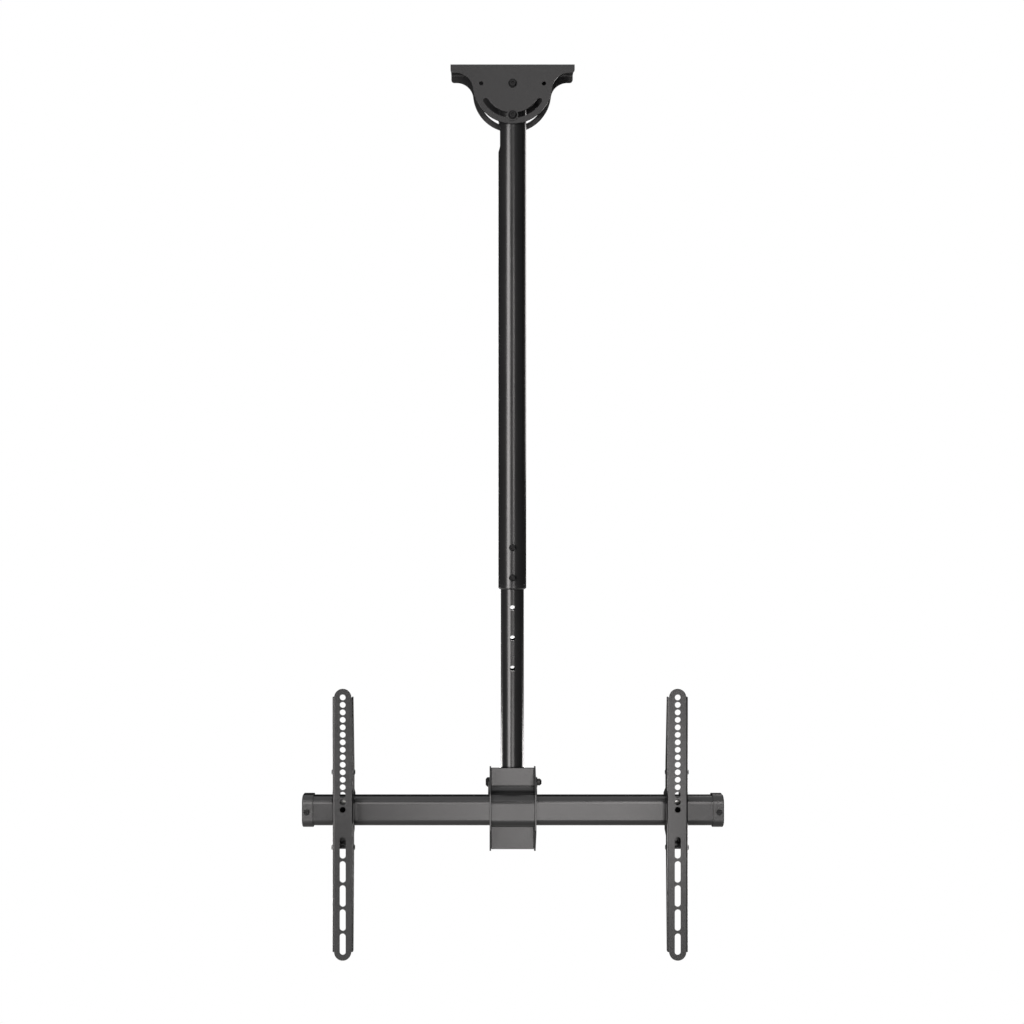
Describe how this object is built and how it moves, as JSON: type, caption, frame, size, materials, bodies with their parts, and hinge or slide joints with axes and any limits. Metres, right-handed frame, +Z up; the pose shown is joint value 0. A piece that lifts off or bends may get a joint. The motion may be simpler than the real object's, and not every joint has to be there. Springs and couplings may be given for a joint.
{
  "type": "tv ceiling mount",
  "caption": "Telescopic ceiling mount for a television: a tilting pole from a folded ceiling plate, a cross rail, and tilting arms that slide along it.",
  "frame": {"origin": "centre of the ceiling plate's top face, which lies against the ceiling", "axes": "+Z up, along the pole; +X along the rail, to the viewer's right; the television and the viewer are on the -Y side"},
  "size_m": [0.686, 0.1267, 1.4589],
  "materials": {
    "powder_coated_steel": "satin black powder coat",
    "black_plastic": "fine matt moulded",
    "fasteners": "black oxide, low sheen"
  },
  "bodies": {
    "ceiling": {"ceiling_plate": "powder_coated_steel", "pivot_bolt": "fasteners", "pivot_nut": "fasteners", "pivot_washer": "fasteners"},
    "upper_pole": {"outer_tube": "powder_coated_steel", "slot_bolt": "fasteners", "slot_nut": "fasteners", "slot_washers": "fasteners", "tube_bushing": "black_plastic", "height_screws": "fasteners"},
    "lower_pole": {"inner_tube": "powder_coated_steel", "inner_tube_glide": "black_plastic", "mast_bracket": "powder_coated_steel", "tube_saddle": "powder_coated_steel", "clamp_plate": "powder_coated_steel", "bracket_rivets": "fasteners", "cross_bolt": "fasteners", "cross_spacers": "fasteners", "cross_washer": "fasteners", "cross_nut": "fasteners", "rail": "powder_coated_steel", "bracket_ear_left": "powder_coated_steel", "bracket_ear_right": "powder_coated_steel", "end_cap_left": "black_plastic", "end_cap_right": "black_plastic", "cap_screw_left": "fasteners", "cap_screw_right": "fasteners"},
    "carriage_left": {"hook_bracket_left": "powder_coated_steel", "lock_screw_left": "fasteners", "arm_pivot_screws_left": "fasteners", "tilt_screws_left": "fasteners"},
    "arm_left": {"tv_arm_left": "powder_coated_steel", "cross_pin_left": "fasteners"},
    "carriage_right": {"hook_bracket_right": "powder_coated_steel", "lock_screw_right": "fasteners", "arm_pivot_screws_right": "fasteners", "tilt_screws_right": "fasteners"},
    "arm_right": {"tv_arm_right": "powder_coated_steel", "cross_pin_right": "fasteners"}
  },
  "joints": [
    {"name": "ceiling_tilt", "type": "hinge", "parent": "ceiling", "child": "upper_pole", "pos_m": [0, 0, -0.0325], "axis": [0, 1, 0], "range_deg": [-55, 55]},
    {"name": "height_slide", "type": "slide", "parent": "upper_pole", "child": "lower_pole", "axis": [0, 0, -1], "range_m": [-0.15, 0.3]},
    {"name": "arm_travel_left", "type": "slide", "parent": "lower_pole", "child": "carriage_left", "axis": [1, 0, 0], "range_m": [-0.03, 0.2]},
    {"name": "arm_tilt_left", "type": "hinge", "parent": "carriage_left", "child": "arm_left", "pos_m": [-0.2735, -0.076, -1.2058], "axis": [1, 0, 0], "range_deg": [-5, 10]},
    {"name": "arm_travel_right", "type": "slide", "parent": "lower_pole", "child": "carriage_right", "axis": [1, 0, 0], "range_m": [-0.19, 0.03]},
    {"name": "arm_tilt_right", "type": "hinge", "parent": "carriage_right", "child": "arm_right", "pos_m": [0.2635, -0.076, -1.2058], "axis": [1, 0, 0], "range_deg": [-5, 10]}
  ]
}
